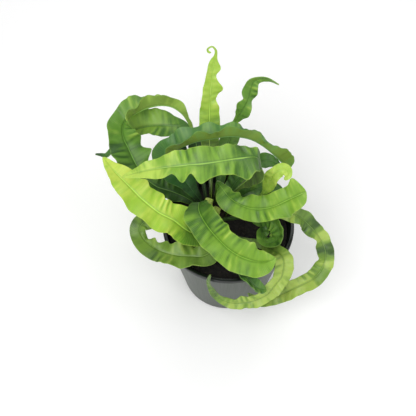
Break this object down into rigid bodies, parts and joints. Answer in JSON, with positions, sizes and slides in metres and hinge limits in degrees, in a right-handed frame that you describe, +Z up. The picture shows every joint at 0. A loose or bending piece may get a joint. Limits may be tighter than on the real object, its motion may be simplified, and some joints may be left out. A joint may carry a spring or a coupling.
{
  "type": "potted fern",
  "caption": "Bird's-nest fern with long, wavy, curled strap-shaped fronds growing from one crown in a round plastic nursery pot.",
  "frame": {"origin": "middle of the flat underside of the pot", "axes": "+Z up along the pot's axis, +X to the right and +Y away from the picture's viewpoint"},
  "size_m": [0.2846, 0.2221, 0.2659],
  "materials": {
    "pot": "satin",
    "soil": "matte",
    "crown": "matte",
    "leaf_bright": "satin",
    "leaf_lime": "satin",
    "leaf_yellow": "satin",
    "leaf_mid": "satin",
    "leaf_dark": "satin",
    "leaf_olive": "satin",
    "bud": "satin"
  },
  "bodies": {
    "root": {"pot": "pot", "potting_mix": "soil", "crown": "crown", "frond_upright": "leaf_yellow", "frond_corkscrew": "leaf_mid", "frond_left_ring": "leaf_mid", "frond_left_back": "leaf_dark", "frond_left_lime": "leaf_lime", "frond_top_arch": "leaf_olive", "frond_front_broad": "leaf_bright", "frond_over_crown": "leaf_bright", "frond_right_cradle": "leaf_bright", "frond_young_hook": "leaf_yellow", "frond_right_sweep": "leaf_mid", "frond_front_strap": "leaf_mid", "frond_left_coil": "leaf_mid", "frond_back_right": "leaf_dark", "frond_back_left": "leaf_dark", "frond_inner_right": "leaf_dark", "frond_curled_end": "leaf_mid", "frond_under_front": "leaf_dark", "crozier_tall": "bud", "crozier_short": "bud"}
  },
  "joints": []
}
